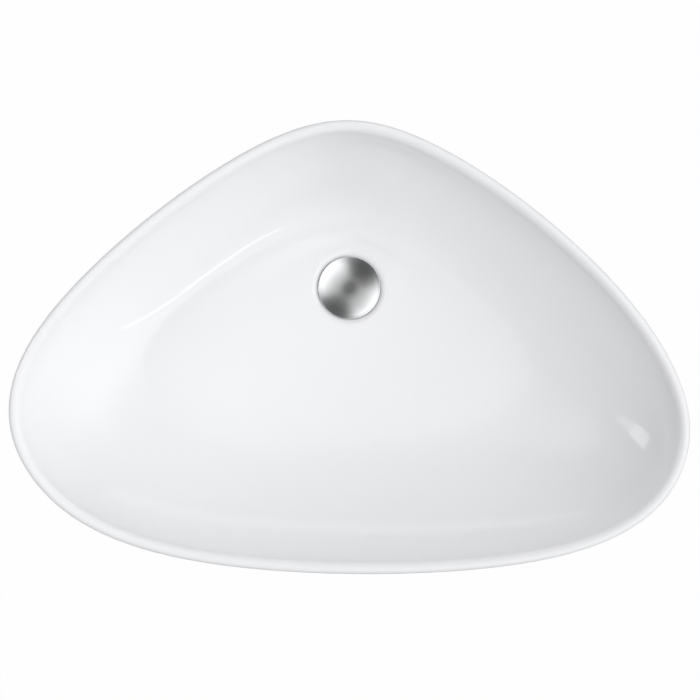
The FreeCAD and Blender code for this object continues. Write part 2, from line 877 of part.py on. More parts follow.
NODES = (
    "basin_bowl",
    "upper_gasket",
    "waste_body",
    "lower_gasket",
    "slip_washer",
    "back_nut",
    "tail_gasket",
    "tailpiece",
    "cartridge_sleeve",
    "cartridge_collar",
    "cartridge_nut",
    "wiper_ring",
    "guide_pin",
    "return_spring",
    "plug_cap",
    "plug_seal",
    "plug_stem",
    "stem_locknut",
    "thrust_washer",
    "index_drum",
)


def write_parts():
    """Check every object and every sub-part, then write one file for each node."""
    for thing in doc.Objects:
        if "Invalid" in thing.State or "Error" in thing.State:
            raise RuntimeError(f"{thing.Label} is {thing.State}")
    shapes = {}
    for node in NODES:
        shape = doc.getObjectsByLabel(node)[0].Shape
        if shape.isNull() or not shape.isValid() or not shape.Solids:
            raise RuntimeError(f"{node} has no valid solid")
        shapes[node] = shape
    os.makedirs("parts", exist_ok=True)
    for node, shape in shapes.items():
        shape.exportStep(f"parts/{node}.step")
        box = shape.BoundBox
        print(f"{node:18s} volume {shape.Volume:12.1f}  z {box.ZMin:8.2f} to {box.ZMax:8.2f}")


fill_sheet()
basin_bowl()
waste_body()
seals_and_nut()
tail()
cartridge()
plug()
index_drum()
thrust_washer()
return_spring()
doc.recompute()
write_parts()
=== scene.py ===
import math

import bmesh
import bpy
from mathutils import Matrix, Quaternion, Vector

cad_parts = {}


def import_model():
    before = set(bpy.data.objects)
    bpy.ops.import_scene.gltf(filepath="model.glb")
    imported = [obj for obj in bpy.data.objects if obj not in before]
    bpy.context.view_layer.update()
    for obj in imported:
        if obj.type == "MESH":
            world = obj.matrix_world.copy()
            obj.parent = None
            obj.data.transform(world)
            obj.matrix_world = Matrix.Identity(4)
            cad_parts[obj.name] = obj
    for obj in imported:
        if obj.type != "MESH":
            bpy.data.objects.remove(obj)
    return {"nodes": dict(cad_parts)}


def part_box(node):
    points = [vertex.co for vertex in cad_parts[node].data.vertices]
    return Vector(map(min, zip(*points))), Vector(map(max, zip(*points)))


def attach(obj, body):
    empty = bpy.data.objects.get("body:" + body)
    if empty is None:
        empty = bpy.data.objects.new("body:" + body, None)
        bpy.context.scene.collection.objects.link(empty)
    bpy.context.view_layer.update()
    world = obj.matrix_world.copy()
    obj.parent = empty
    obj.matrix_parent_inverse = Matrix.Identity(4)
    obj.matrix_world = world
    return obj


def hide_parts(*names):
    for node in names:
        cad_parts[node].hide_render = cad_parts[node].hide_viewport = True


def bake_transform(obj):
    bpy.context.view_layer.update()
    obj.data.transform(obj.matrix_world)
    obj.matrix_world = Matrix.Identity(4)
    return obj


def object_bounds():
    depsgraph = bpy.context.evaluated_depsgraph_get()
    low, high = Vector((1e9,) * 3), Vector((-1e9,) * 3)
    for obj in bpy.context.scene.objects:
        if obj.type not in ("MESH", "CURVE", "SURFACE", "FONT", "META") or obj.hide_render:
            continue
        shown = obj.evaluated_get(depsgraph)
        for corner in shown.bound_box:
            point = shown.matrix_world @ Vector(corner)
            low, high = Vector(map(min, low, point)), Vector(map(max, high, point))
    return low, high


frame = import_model()
cad_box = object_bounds()

# A glazed counter basin with a push waste. Lengths are in metres, heights above the worktop.
MM = 0.001

# the basin, with its height read from its own node
BASIN_WIDTH = 590 * MM
BASIN_DEPTH = 393 * MM
DRAIN_TO_BACK = 139 * MM
BASIN_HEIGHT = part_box("basin_bowl")[1].z
RIM_THICKNESS = 10.5 * MM
FLOOR_WIDTH = 365 * MM
FLOOR_DEPTH = 200 * MM
FLOOR_CENTRE = (-12 * MM, -45 * MM)
FLOOR_FALL = 5 * MM
LAND_HEIGHT = 22 * MM
LAND_RADIUS = 42 * MM
FOOT_WIDTH = 375 * MM
FOOT_DEPTH = 240 * MM
FOOT_CENTRE = (-12 * MM, -52 * MM)
FOOT_HEIGHT = 9 * MM
FOOT_RING = 14 * MM
FOOT_HOLLOW = 8 * MM
FOOT_ROUND = 1.0 * MM
DISH_SEAT = 19 * MM
DISH_MOUTH = 36 * MM
RECESS_SEAT = 18 * MM
RECESS_RADIUS = 30.3 * MM
RECESS_SOFTNESS = 0.9 * MM
HOLE_RADIUS = 22.505 * MM
OUTLINE_SLACK = 0.05 * MM

# how closely the basin's cage is ringed, and how full its walls are
RIM_STEPS = 8
WALL_STEPS = 12
WALL_POWER = 1.35
FLOOR_STEPS = 5
HOLLOW_SHARES = (0.3, 0.7)
SMOOTHING_LEVELS = 2
FIRST_POLE_ANGLE = -5.0

# The rim's outline as poles of a closed cubic curve, in shares of its width and depth.
OUTLINE_SHARES = (
    (0.497, -0.047),
    (0.345, 0.235),
    (0.082, 0.515),
    (-0.115, 0.515),
    (-0.528, 0.016),
    (-0.498, -0.305),
    (-0.281, -0.51),
    (0.356, -0.509),
    (0.515, -0.284),
)

# The plug's cap. Its skirt ends above the boss's lower end, its plate lies above the skirt's end
# and its dome rises above the cap's edge.
CAP_SKIRT_RISE = 6.8 * MM
CAP_DOME_RISE = 3.4 * MM
CAP_EDGE_ROUND = 0.45 * MM
CAP_WALL = 3.0 * MM
CAP_BEVEL = 0.3 * MM
CAP_PLATE_RISE = 1.4 * MM
BOSS_RADIUS = 6.5 * MM
BOSS_FILLET = 0.8 * MM
BOSS_BEVEL = 0.5 * MM
BORE_RADIUS = 4.0 * MM
BORE_DEPTH = 9 * MM
DOME_STEPS = 12
EDGE_STEPS = 6
CAP_SIDES = 160
CAP_CREASE = 32

# rings this small close a turned piece at its axis, where points this near are merged
AXIS_RADIUS = MM / 1000
MERGE_DISTANCE = MM / 200

# the spring under the plug
SPRING_TURNS = 7
SPRING_WIRE_RADIUS = 0.5 * MM
SPRING_WIRE_SIDES = 16
SPRING_STEPS_PER_TURN = 40
SPRING_CREASE = 40

# Metals turned about the drain axis: colour, roughness, lathe marks per metre and their depth.
TURNED_METALS = {
    "turned_cap": ((0.72, 0.725, 0.73), 0.13, 2400.0, 0.0000005),
    "machined_brass": ((0.72, 0.53, 0.26), 0.24, 3500.0, 0.00001),
    "turned_steel": ((0.60, 0.61, 0.62), 0.22, 3500.0, 0.000006),
}

# Rubber and plastics: colour, roughness, grains per metre and their depth.
MOULDED_PIECES = {
    "black_rubber": ((0.028, 0.028, 0.030), 0.62, 1800.0, 0.00003),
    "milky_silicone": ((0.74, 0.74, 0.72), 0.38, 900.0, 0.00001),
    "natural_nylon": ((0.80, 0.785, 0.72), 0.42, 1500.0, 0.00002),
    "white_acetal": ((0.82, 0.82, 0.80), 0.30, 1500.0, 0.000015),
}

# the CAD nodes that each material goes on
FINISHES = {
    "polished_chrome": ("waste_body", "tailpiece"),
    "black_rubber": ("upper_gasket", "lower_gasket", "tail_gasket", "wiper_ring"),
    "natural_nylon": ("slip_washer", "thrust_washer"),
    "white_acetal": ("index_drum",),
    "milky_silicone": ("plug_seal",),
    "machined_brass": (
        "back_nut",
        "cartridge_sleeve",
        "cartridge_collar",
        "cartridge_nut",
        "stem_locknut",
    ),
    "turned_steel": ("plug_stem", "guide_pin"),
}

# a noise lies mostly between these
NOISE_LOW = 0.3
NOISE_HIGH = 0.7

# the glaze stops within the rounding of the foot, between these heights
GLAZE_FULL = 0.9 * MM
GLAZE_NONE = 0.5 * MM

# the camera looks straight down from where the photograph was taken
CAMERA_ABOVE_RIM = 0.70
CAMERA_X = 0.6 * MM
CAMERA_Y = -60.1 * MM
CAMERA_SENSOR = 36
CAMERA_NEAREST = 0.01
PICTURE_WIDTH_AT_RIM = 0.6023

# The pale room about the basin: its tint and level, how much of it is left at the horizon and the
# height above it, as the sine of the elevation, where it is whole again.
ROOM_TINT = (0.97, 0.99, 1.04)
ROOM = 0.18
HORIZON = 0.05
HORIZON_TOP = 0.35

# Where the room is brighter or shaded, each by azimuth, zenith and spread in degrees and its
# strength. A shade's strength is the share of all light that it takes away.
GLOWS = (
    (335, 30, 60, 2.66),
    (60, 70, 60, 0.64),
    (180, 48, 48, 0.62),
    (262, 62, 45, 0.06),
    (350, 89, 28, 0.55),
    (139, 25, 24, 3.2),
    (319, 20, 21, 1.8),
)
SHADES = (
    (0, 0, 48, 0.75),
    (0, 0, 26, 0.42),
    (90, 4, 10, 0.50),
    (54, 30, 23, 0.88),
    (236, 28, 24, 0.78),
    (310, 68, 45, 0.24),
    (20, 75, 45, 0.11),
    (172, 90, 48, 0.74),
)

# The lamps: azimuth, zenith, size across and along, power and roll. Angles are in degrees.
LAMP_DISTANCE = 2.0
LAMPS = {
    "strip_front_right": (-55.5, 64, (0.06, 1.42), 1.95, 27),
    "panel_back": (86, 80, (1.0, 0.5), 2.4, 0),
    "lamp_back_left": (169, 60, (0.48, 0.46), 4.6, -27),
    "lamp_back_left_soft": (176, 51, (0.36, 0.30), 1.0, -27),
}

# The ground: its size, the colour that it throws back, how white the camera sees it, and how pale
# its reflection is near the basin and far from it, each as a distance and a level. The dim
# reflection near the basin is a painted shadow of the basin.
GROUND_SIZE = 8
GROUND_COLOUR = (0.13, 0.14, 0.17)
GROUND_WHITE = 0.99
REFLECTION_NEAR_PAINTED_SHADOW = (0.1, 0.05)
REFLECTION_FAR = (1.3, 0.5)


def ring_share(step_angle):
    """A ring of poles this far apart draws a circle of this share of the ring's own radius."""
    return (4 + 2 * math.cos(step_angle)) / 6


def outline_poles(width, depth, centre):
    """The poles of the rim's outline, or of the same outline at another size."""
    return [Vector((centre[0] + width * x, centre[1] + depth * y)) for x, y in OUTLINE_SHARES]


def circle_poles(radius):
    """As many poles as the outline has, round a circle about the drain axis."""
    step_angle = 2 * math.pi / len(OUTLINE_SHARES)
    reach = radius / ring_share(step_angle)
    first = math.radians(FIRST_POLE_ANGLE)
    angles = [first + step_angle * index for index in range(len(OUTLINE_SHARES))]
    return [Vector((reach * math.cos(angle), reach * math.sin(angle))) for angle in angles]


def inset_poles(poles, inset):
    """The same curve moved inwards by the inset, square to itself."""
    moved = []
    for index, pole in enumerate(poles):
        before = (pole - poles[index - 1]).normalized()
        after = (poles[(index + 1) % len(poles)] - pole).normalized()
        inwards = Vector((-before.y - after.y, before.x + after.x)).normalized()
        moved.append(pole + inwards * (inset / ring_share(before.angle(after))))
    return moved


def refined(poles):
    """The same cubic curve with twice as many poles."""
    finer = []
    for index, pole in enumerate(poles):
        after = poles[(index + 1) % len(poles)]
        finer.append((poles[index - 1] + pole * 6 + after) / 8)
        finer.append((pole + after) / 2)
    return finer


def row(first, last, share, height):
    """A ring of the cage that lies this share of the way from one curve to another."""
    flat = [a.lerp(b, share) for a, b in zip(first, last)]
    return [Vector((place.x, place.y, height)) for place in refined(refined(flat))]


def level(poles, height):
    """A ring of the cage along one curve."""
    return row(poles, poles, 0, height)


def quarter_wall(start, end, start_height, end_height):
    """Rings down a wall that starts upright and ends level, fuller or flatter by its power."""
    rings = []
    for step in range(1, WALL_STEPS + 1):
        angle = math.pi / 2 * step / WALL_STEPS
        fallen = math.sin(angle) ** WALL_POWER
        share = 1 - abs(math.cos(angle)) ** WALL_POWER
        rings.append(row(start, end, share, start_height - (start_height - end_height) * fallen))
    return rings


def underside_rings(foot, hollow):
    """From the waste's hole out over the hollow and round the foot's ring to its outer edge."""
    edge = FOOT_ROUND
    mouth = circle_poles(HOLE_RADIUS + edge)
    inner_wall = inset_poles(foot, FOOT_RING)
    return [
        level(mouth, FOOT_HOLLOW),
        *(row(mouth, hollow, share, FOOT_HOLLOW) for share in HOLLOW_SHARES),
        level(inset_poles(foot, FOOT_RING + 2 * edge), FOOT_HOLLOW),
        level(inner_wall, FOOT_HOLLOW),
        level(inner_wall, FOOT_HOLLOW - edge),
        level(inner_wall, edge),
        level(inner_wall, 0),
        level(inset_poles(foot, FOOT_RING - edge), 0),
        level(inset_poles(foot, FOOT_RING / 2), 0),
        level(inset_poles(foot, edge), 0),
        level(foot, 0),
        level(foot, edge),
        level(foot, FOOT_HEIGHT / 2),
    ]


def rim_rings(outside, inside, lip_centre):
    """Over the full round rim, from its outer edge to its inner one."""
    lip = RIM_THICKNESS / 2
    step_angle = math.pi / RIM_STEPS
    reach = lip / ring_share(step_angle)
    rings = []
    for step in range(RIM_STEPS + 1):
        across = lip - reach * math.cos(step_angle * step)
        up = lip_centre + reach * math.sin(step_angle * step)
        rings.append(row(outside, inside, across / RIM_THICKNESS, up))
    return rings


def floor_rings(floor, floor_edge):
    """Across the bowl's floor, which falls gently to the land round the drain."""
    land = circle_poles(LAND_RADIUS)
    rings = []
    for step in range(1, FLOOR_STEPS + 1):
        share = step / FLOOR_STEPS
        fallen = share * share * (3 - 2 * share)
        rings.append(row(floor, land, share, floor_edge - FLOOR_FALL * fallen))
    return rings


def recess_rings():
    """From the land down the dish, over its lip, across the recess and down the hole."""
    soft = RECESS_SOFTNESS
    slope = (DISH_MOUTH - RECESS_RADIUS) / (LAND_HEIGHT - DISH_SEAT)
    places = [
        (DISH_MOUTH + 3 * soft, LAND_HEIGHT),
        (DISH_MOUTH + soft, LAND_HEIGHT),
        (DISH_MOUTH - soft, LAND_HEIGHT - soft / slope),
        (DISH_MOUTH - 3 * soft, LAND_HEIGHT - 3 * soft / slope),
        (RECESS_RADIUS + 2 * soft, DISH_SEAT + 2 * soft / slope),
        (RECESS_RADIUS + soft / 2, DISH_SEAT + soft / 2 / slope),
        (RECESS_RADIUS, DISH_SEAT),
        (RECESS_RADIUS, DISH_SEAT - soft / 2),
        (RECESS_RADIUS, RECESS_SEAT + soft / 3),
        (RECESS_RADIUS, RECESS_SEAT),
        (RECESS_RADIUS - soft, RECESS_SEAT),
        (HOLE_RADIUS + 3 * soft, RECESS_SEAT),
        (HOLE_RADIUS + soft, RECESS_SEAT),
        (HOLE_RADIUS, RECESS_SEAT - soft / 3),
        (HOLE_RADIUS, RECESS_SEAT - 2 * soft),
        (HOLE_RADIUS, FOOT_HOLLOW + 2 * soft),
        (HOLE_RADIUS, FOOT_HOLLOW + soft / 3),
    ]
    return [level(circle_poles(radius), height) for radius, height in places]


def cage_of_basin():
    """Every ring of the basin's cage, from under the hole over the rim and back down the hole."""
    centre_y = DRAIN_TO_BACK - BASIN_DEPTH / 2
    rim = outline_poles(BASIN_WIDTH, BASIN_DEPTH, (0, centre_y))
    outside = inset_poles(rim, OUTLINE_SLACK)
    inside = inset_poles(rim, RIM_THICKNESS)
    foot = outline_poles(FOOT_WIDTH, FOOT_DEPTH, FOOT_CENTRE)
    hollow = inset_poles(foot, FOOT_RING)
    floor = outline_poles(FLOOR_WIDTH, FLOOR_DEPTH, FLOOR_CENTRE)
    lip_centre = BASIN_HEIGHT - RIM_THICKNESS / 2
    floor_edge = LAND_HEIGHT + FLOOR_FALL
    rings = underside_rings(foot, hollow)
    rings += reversed(quarter_wall(outside, foot, lip_centre, FOOT_HEIGHT))
    rings += rim_rings(outside, inside, lip_centre)
    rings += quarter_wall(inside, floor, lip_centre, floor_edge)
    rings += floor_rings(floor, floor_edge)
    rings += recess_rings()
    return rings


def deselect_all():
    for thing in bpy.context.selected_objects:
        thing.select_set(False)


def select_only(piece):
    deselect_all()
    piece.select_set(True)
    bpy.context.view_layer.objects.active = piece


def named_active(name):
    """Name the object that was just added."""
    piece = bpy.context.object
    piece.name = name
    piece.data.name = name
    return piece


def grow_ring(piece, order, places):
    """Extrude the last ring of a shell and put the new ring at its places."""
    bpy.ops.mesh.extrude_region_move()
    cage = bmesh.from_edit_mesh(piece.data)
    cage.verts.index_update()
    cage.verts.ensure_lookup_table()
    position = {index: place for place, index in enumerate(order)}
    new_order = [0] * len(order)
    for vert in cage.verts:
        if not vert.select:
            continue
        neighbours = [edge.other_vert(vert) for edge in vert.link_edges]
        older = [neighbour for neighbour in neighbours if not neighbour.select]
        place = position[older[0].index]
        new_order[place] = vert.index
        vert.co = places[place]
    bmesh.update_edit_mesh(piece.data)
    return new_order


def select_open_edges(piece):
    """Select the edges that only one face uses."""
    bpy.ops.mesh.select_all(action="DESELECT")
    cage = bmesh.from_edit_mesh(piece.data)
    for edge in cage.edges:
        edge.select_set(len(edge.link_faces) == 1)
    bmesh.update_edit_mesh(piece.data)


def shell_of_rings(name, rings, closed=False):
    """A shell extruded ring by ring from one circle. If closed, its last ring joins its first."""
    deselect_all()
    bpy.ops.mesh.primitive_circle_add(vertices=len(rings[0]), radius=1, fill_type="NOTHING")
    piece = named_active(name)
    for vert, place in zip(piece.data.vertices, rings[0]):
        vert.co = place
    bpy.ops.object.mode_set(mode="EDIT")
    bpy.ops.mesh.select_all(action="SELECT")
    order = list(range(len(rings[0])))
    for ring in rings[1:]:
        order = grow_ring(piece, order, ring)
    if closed:
        select_open_edges(piece)
        bpy.ops.mesh.bridge_edge_loops()
    bpy.ops.mesh.select_all(action="SELECT")
    bpy.ops.mesh.normals_make_consistent(inside=False)
    bpy.ops.object.mode_set(mode="OBJECT")
    return piece


def finish_with(piece, kind, **settings):
    """Add one modifier to a piece, set it and apply it."""
    select_only(piece)
    modifier = piece.modifiers.new(kind.title(), kind)
    for name, value in settings.items():
        setattr(modifier, name, value)
    bpy.ops.object.modifier_apply(modifier=modifier.name)


def smooth(piece, crease=None):
    """Shade a piece smooth, but leave edges sharp that turn by more than the crease in degrees."""
    select_only(piece)
    if crease is None:
        bpy.ops.object.shade_smooth()
    else:
        bpy.ops.object.shade_smooth_by_angle(angle=math.radians(crease))


def circle_ring(radius, height, sides):
    """A ring of a turned piece about the drain axis."""
    return [
        Vector((radius * math.cos(turn), radius * math.sin(turn), height))
        for turn in (2 * math.pi * side / sides for side in range(sides))
    ]


def turned(name, profile, sides):
    """A turned piece from its profile of radius and height, with both ends at the axis."""
    rings = [circle_ring(radius or AXIS_RADIUS, height, sides) for radius, height in profile]
    piece = shell_of_rings(name, rings)
    bpy.ops.object.mode_set(mode="EDIT")
    bpy.ops.mesh.select_all(action="SELECT")
    bpy.ops.mesh.remove_doubles(threshold=MERGE_DISTANCE)
    bpy.ops.mesh.normals_make_consistent(inside=False)
    bpy.ops.object.mode_set(mode="OBJECT")
    return piece


def bowl():
    piece = shell_of_rings("basin_shell", cage_of_basin(), closed=True)
    finish_with(piece, "SUBSURF", levels=SMOOTHING_LEVELS, render_levels=SMOOTHING_LEVELS)
    smooth(piece)
    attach(piece, "basin")
    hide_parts("basin_bowl")
    return piece


def cap_profile():
    """The cap's section, from the middle of its dome over the rounded edge and back under it."""
    low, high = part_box("plug_cap")
    radius = high.x
    skirt = low.z + CAP_SKIRT_RISE
    edge_top = high.z - CAP_DOME_RISE
    soft = CAP_EDGE_ROUND
    sphere = (radius ** 2 + (high.z - edge_top) ** 2) / (2 * (high.z - edge_top))
    profile = []
    for step in range(DOME_STEPS + 1):
        out = (radius - soft) * step / DOME_STEPS
        profile.append((out, high.z - sphere + math.sqrt(sphere ** 2 - out ** 2)))
    crown = profile[-1][1]
    for step in range(1, EDGE_STEPS + 1):
        angle = math.pi / 2 * step / EDGE_STEPS
        out = radius - soft + soft * math.sin(angle)
        profile.append((out, crown - soft + soft * math.cos(angle)))
    plate = skirt + CAP_PLATE_RISE
    profile += [
        (radius, skirt + CAP_BEVEL),
        (radius - CAP_BEVEL, skirt),
        (radius - CAP_WALL + CAP_BEVEL, skirt),
        (radius - CAP_WALL, skirt + CAP_BEVEL),
        (radius - CAP_WALL, plate),
        (BOSS_RADIUS + BOSS_FILLET, plate),
        (BOSS_RADIUS, plate - BOSS_FILLET),
        (BOSS_RADIUS, low.z + BOSS_BEVEL),
        (BOSS_RADIUS - BOSS_BEVEL, low.z),
        (BORE_RADIUS, low.z),
        (BORE_RADIUS, low.z + BORE_DEPTH),
        (0, low.z + BORE_DEPTH),
    ]
    return profile


def cap():
    piece = turned("plug_dome", cap_profile(), CAP_SIDES)
    smooth(piece, CAP_CREASE)
    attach(piece, "plug")
    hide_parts("plug_cap")
    return piece


def spring():
    """The round wire coil. It stands still here; in the real waste its top goes up with the plug
    while its foot stays on the waste.
    """
    low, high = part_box("return_spring")
    wire = SPRING_WIRE_RADIUS
    deselect_all()
    bpy.ops.mesh.primitive_circle_add(
        vertices=SPRING_WIRE_SIDES,
        radius=wire,
        location=(high.x - wire, 0, low.z + wire),
        rotation=(math.pi / 2, 0, 0),
    )
    piece = named_active("spring_coil")
    bpy.ops.object.transform_apply()
    finish_with(
        piece,
        "SCREW",
        iterations=SPRING_TURNS,
        screw_offset=(high.z - low.z - 2 * wire) / SPRING_TURNS,
        steps=SPRING_STEPS_PER_TURN,
        render_steps=SPRING_STEPS_PER_TURN,
    )
    bpy.ops.object.mode_set(mode="EDIT")
    bpy.ops.mesh.select_all(action="SELECT")
    bpy.ops.mesh.fill_holes(sides=0)
    bpy.ops.mesh.normals_make_consistent(inside=False)
    bpy.ops.object.mode_set(mode="OBJECT")
    smooth(piece, SPRING_CREASE)
    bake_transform(piece)
    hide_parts("return_spring")
    return piece


class Nodes:
    """The node tree of one material or group, with short ways to add and join its nodes."""

    def __init__(self, tree):
        self.tree = tree

    def add(self, kind, **settings):
        node = self.tree.nodes.new(kind)
        for name, value in settings.items():
            setattr(node, name, value)
        return node

    def join(self, source, target):
        self.tree.links.new(source, target)

    def feed(self, value, target):
        """Give a socket a number, or join it to another node's output."""
        if isinstance(value, (int, float)):
            target.default_value = value
        else:
            self.join(value, target)

    def place(self):
        """Where a point lies on the piece, in metres."""
        return self.add("ShaderNodeTexCoord").outputs["Object"]

    def maths(self, operation, first, second=None):
        node = self.add("ShaderNodeMath", operation=operation)
        self.feed(first, node.inputs[0])
        if second is not None:
            self.feed(second, node.inputs[1])
        return node.outputs[0]

    def noise(self, vector, scale, detail=2.0, roughness=0.5):
        node = self.add("ShaderNodeTexNoise")
        self.feed(scale, node.inputs["Scale"])
        node.inputs["Detail"].default_value = detail
        node.inputs["Roughness"].default_value = roughness
        self.join(vector, node.inputs["Vector"])
        return node.outputs["Fac"]

    def ramp(self, value, low, high, dark=0.0, light=1.0):
        """Turn values from low to high into values from dark to light."""
        node = self.add("ShaderNodeMapRange")
        node.inputs["From Min"].default_value = low
        node.inputs["From Max"].default_value = high
        node.inputs["To Min"].default_value = dark
        node.inputs["To Max"].default_value = light
        self.join(value, node.inputs["Value"])
        return node.outputs["Result"]

    def mix_colour(self, share, first, second):
        node = self.add("ShaderNodeMix", data_type="RGBA")
        for name, value in (("Factor", share), ("A", first), ("B", second)):
            socket = [s for s in node.inputs if s.name == name and s.enabled][0]
            if isinstance(value, tuple):
                socket.default_value = (*value, 1)
            else:
                self.join(value, socket)
        return [s for s in node.outputs if s.enabled][0]


def new_group(name, inputs, outputs):
    """A shader node group with named inputs and outputs. Numbers have a default, places don't."""
    tree = bpy.data.node_groups.new(name, "ShaderNodeTree")
    for label, value in inputs:
        kind = "NodeSocketVector" if value is None else "NodeSocketFloat"
        socket = tree.interface.new_socket(label, in_out="INPUT", socket_type=kind)
        if value is not None:
            socket.default_value = value
    for label in outputs:
        tree.interface.new_socket(label, in_out="OUTPUT", socket_type="NodeSocketFloat")
    nodes = Nodes(tree)
    start = nodes.add("NodeGroupInput")
    end = nodes.add("NodeGroupOutput")
    return nodes, start.outputs, end.inputs


def turning_group():
    """Concentric lathe marks about the drain axis: a height for the bump and a broad tone."""
    waver_scale = 90
    marks_up_the_side = 400
    broad_scale = 0.13
    nodes, given, out = new_group(
        "turning_marks",
        [("Place", None), ("Marks per metre", 2500.0), ("Waver", 0.15)],
        ["Height", "Tone"],
    )
    parts = nodes.add("ShaderNodeSeparateXYZ")
    nodes.join(given["Place"], parts.inputs[0])
    across = nodes.maths("POWER", parts.outputs["X"], 2)
    along = nodes.maths("POWER", parts.outputs["Y"], 2)
    radius = nodes.maths("SQRT", nodes.maths("ADD", across, along))
    unsteady = nodes.noise(given["Place"], waver_scale, detail=1)
    waver = nodes.maths("MULTIPLY", unsteady, given["Waver"])
    steps = nodes.maths("ADD", nodes.maths("MULTIPLY", radius, given["Marks per metre"]), waver)
    line = nodes.add("ShaderNodeCombineXYZ")
    nodes.join(steps, line.inputs["X"])
    nodes.join(nodes.maths("MULTIPLY", parts.outputs["Z"], marks_up_the_side), line.inputs["Y"])
    fine = nodes.noise(line.outputs[0], 1.0, detail=3, roughness=0.7)
    broad = nodes.noise(line.outputs[0], broad_scale, detail=2, roughness=0.6)
    nodes.join(nodes.maths("ADD", fine, broad), out["Height"])
    nodes.join(broad, out["Tone"])
    return nodes.tree


def grain_group():
    """The fine random grain of moulded and cast faces, with broad blotches beside it."""
    nodes, given, out = new_group(
        "moulded_grain",
        [("Place", None), ("Size", 1800.0), ("Blotch", 45.0)],
        ["Height", "Tone"],
    )
    nodes.join(nodes.noise(given["Place"], given["Size"], detail=4), out["Height"])
    nodes.join(nodes.noise(given["Place"], given["Blotch"], detail=3), out["Tone"])
    return nodes.tree


def new_material(name, colour, roughness, metallic=0.0):
    material = bpy.data.materials.new(name)
    material.use_nodes = True
    nodes = Nodes(material.node_tree)
    shader = material.node_tree.nodes["Principled BSDF"]
    shader.inputs["Base Color"].default_value = (*colour, 1)
    shader.inputs["Roughness"].default_value = roughness
    shader.inputs["Metallic"].default_value = metallic
    return material, nodes, shader


def place_group(nodes, tree, **values):
    """Put a shared group into a material and set its numbers. A _ stands for a space in a label."""
    node = nodes.add("ShaderNodeGroup", node_tree=tree)
    nodes.join(nodes.place(), node.inputs["Place"])
    for label, value in values.items():
        node.inputs[label.replace("_", " ")].default_value = value
    return node


def vary_roughness(nodes, shader, tone, smoothest, roughest, low=NOISE_LOW, high=NOISE_HIGH):
    """Let the roughness follow a tone, which lies mostly between low and high."""
    nodes.join(nodes.ramp(tone, low, high, smoothest, roughest), shader.inputs["Roughness"])


def bump(nodes, shader, height, depth):
    node = nodes.add("ShaderNodeBump")
    node.inputs["Distance"].default_value = depth
    nodes.join(height, node.inputs["Height"])
    nodes.join(node.outputs["Normal"], shader.inputs["Normal"])


def glaze():
    """White glaze: almost mirror smooth, very slightly wavy, bare and matt under the foot."""
    cloud_scale, polish_scale, wave_scale, pore_scale = 14, 35, 60, 2600
    smoothest, roughest = 0.045, 0.085
    relief = 0.00002
    brighter_white = (0.873, 0.876, 0.887)
    duller_white = (0.868, 0.871, 0.881)
    bare_clay = (0.74, 0.70, 0.62)
    clay_roughness = 0.8
    material, nodes, shader = new_material("white_glaze", (0.87, 0.875, 0.88), 0.08)
    place = nodes.place()
    parts = nodes.add("ShaderNodeSeparateXYZ")
    nodes.join(place, parts.inputs[0])
    bare = nodes.ramp(parts.outputs["Z"], GLAZE_FULL, GLAZE_NONE)
    cloud = nodes.ramp(nodes.noise(place, cloud_scale), NOISE_LOW, NOISE_HIGH)
    body = nodes.mix_colour(cloud, brighter_white, duller_white)
    nodes.join(nodes.mix_colour(bare, body, bare_clay), shader.inputs["Base Color"])
    handled = nodes.noise(place, polish_scale, detail=3)
    polish = nodes.ramp(handled, NOISE_LOW, NOISE_HIGH, smoothest, roughest)
    roughness = nodes.maths("ADD", polish, nodes.maths("MULTIPLY", bare, clay_roughness))
    nodes.join(roughness, shader.inputs["Roughness"])
    shader.inputs["IOR"].default_value = 1.52
    shader.inputs["Specular IOR Level"].default_value = 0.22
    wave = nodes.noise(place, wave_scale, detail=1)
    pores = nodes.maths("MULTIPLY", nodes.noise(place, pore_scale), bare)
    bump(nodes, shader, nodes.maths("ADD", wave, pores), relief)
    return material


def turned_metal(name, turning, colour, roughness, marks, depth):
    """Metal that was turned on a lathe about the drain axis."""
    material, nodes, shader = new_material(name, colour, roughness, metallic=1.0)
    group = place_group(nodes, turning, Marks_per_metre=marks)
    smoothest, roughest = roughness * 0.8, roughness * 1.25
    vary_roughness(nodes, shader, group.outputs["Tone"], smoothest, roughest)
    bump(nodes, shader, group.outputs["Height"], depth)
    return material


def moulded(name, grain, colour, roughness, size, depth):
    """Rubber or plastic with its moulded grain and a little unevenness of tone."""
    material, nodes, shader = new_material(name, colour, roughness)
    group = place_group(nodes, grain, Size=size)
    tone = group.outputs["Tone"]
    darker = tuple(channel * 0.86 for channel in colour)
    nodes.join(nodes.mix_colour(tone, darker, colour), shader.inputs["Base Color"])
    smoothest, roughest = roughness * 0.85, roughness * 1.1
    vary_roughness(nodes, shader, tone, smoothest, roughest)
    bump(nodes, shader, group.outputs["Height"], depth)
    return material


def chrome(grain):
    """Polished chrome plate, with the faint smears that handling leaves."""
    material, nodes, shader = new_material("polished_chrome", (0.78, 0.79, 0.80), 0.06, metallic=1.0)
    group = place_group(nodes, grain, Size=500.0)
    smoothest, roughest = 0.04, 0.16
    vary_roughness(nodes, shader, group.outputs["Tone"], smoothest, roughest, low=0.35, high=0.75)
    bump(nodes, shader, group.outputs["Height"], depth=0.000002)
    return material


def dress(node, material):
    """Give a CAD node its material."""
    mesh = frame["nodes"][node].data
    mesh.materials.clear()
    mesh.materials.append(material)


